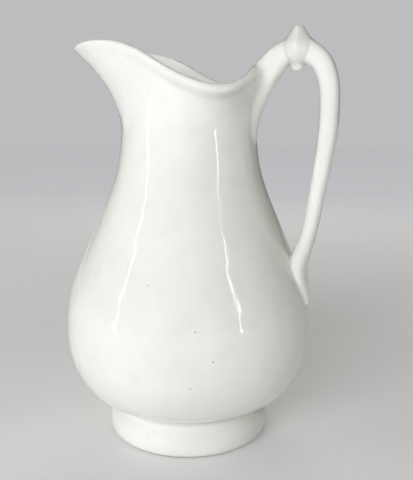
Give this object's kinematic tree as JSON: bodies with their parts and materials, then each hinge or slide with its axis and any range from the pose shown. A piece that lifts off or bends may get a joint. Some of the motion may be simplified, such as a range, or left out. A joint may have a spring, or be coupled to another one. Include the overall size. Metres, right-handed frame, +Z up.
{
  "type": "water jug",
  "caption": "Large white glazed water jug with a round belly, narrow neck, swept spout, rolled lip, ring foot and a loop handle with a bud on its arch.",
  "frame": {"origin": "centre of the foot's resting ring, on the jug's axis, on the table plane", "axes": "+Z up along the jug's axis, +X towards the handle, -X towards the spout; the jug is symmetric about the XZ plane"},
  "size_m": [0.2046, 0.1874, 0.305],
  "materials": {
    "white_glaze": "glossy clear glaze over an off-white earthenware body"
  },
  "bodies": {
    "root": {"foot_ring": "white_glaze", "floor": "white_glaze", "belly": "white_glaze", "neck_and_spout": "white_glaze", "rolled_lip": "white_glaze", "bud": "white_glaze", "bud_bead": "white_glaze", "handle_leaf": "white_glaze", "handle_strap": "white_glaze", "handle_branch": "white_glaze", "neck_rib": "white_glaze"}
  },
  "joints": []
}
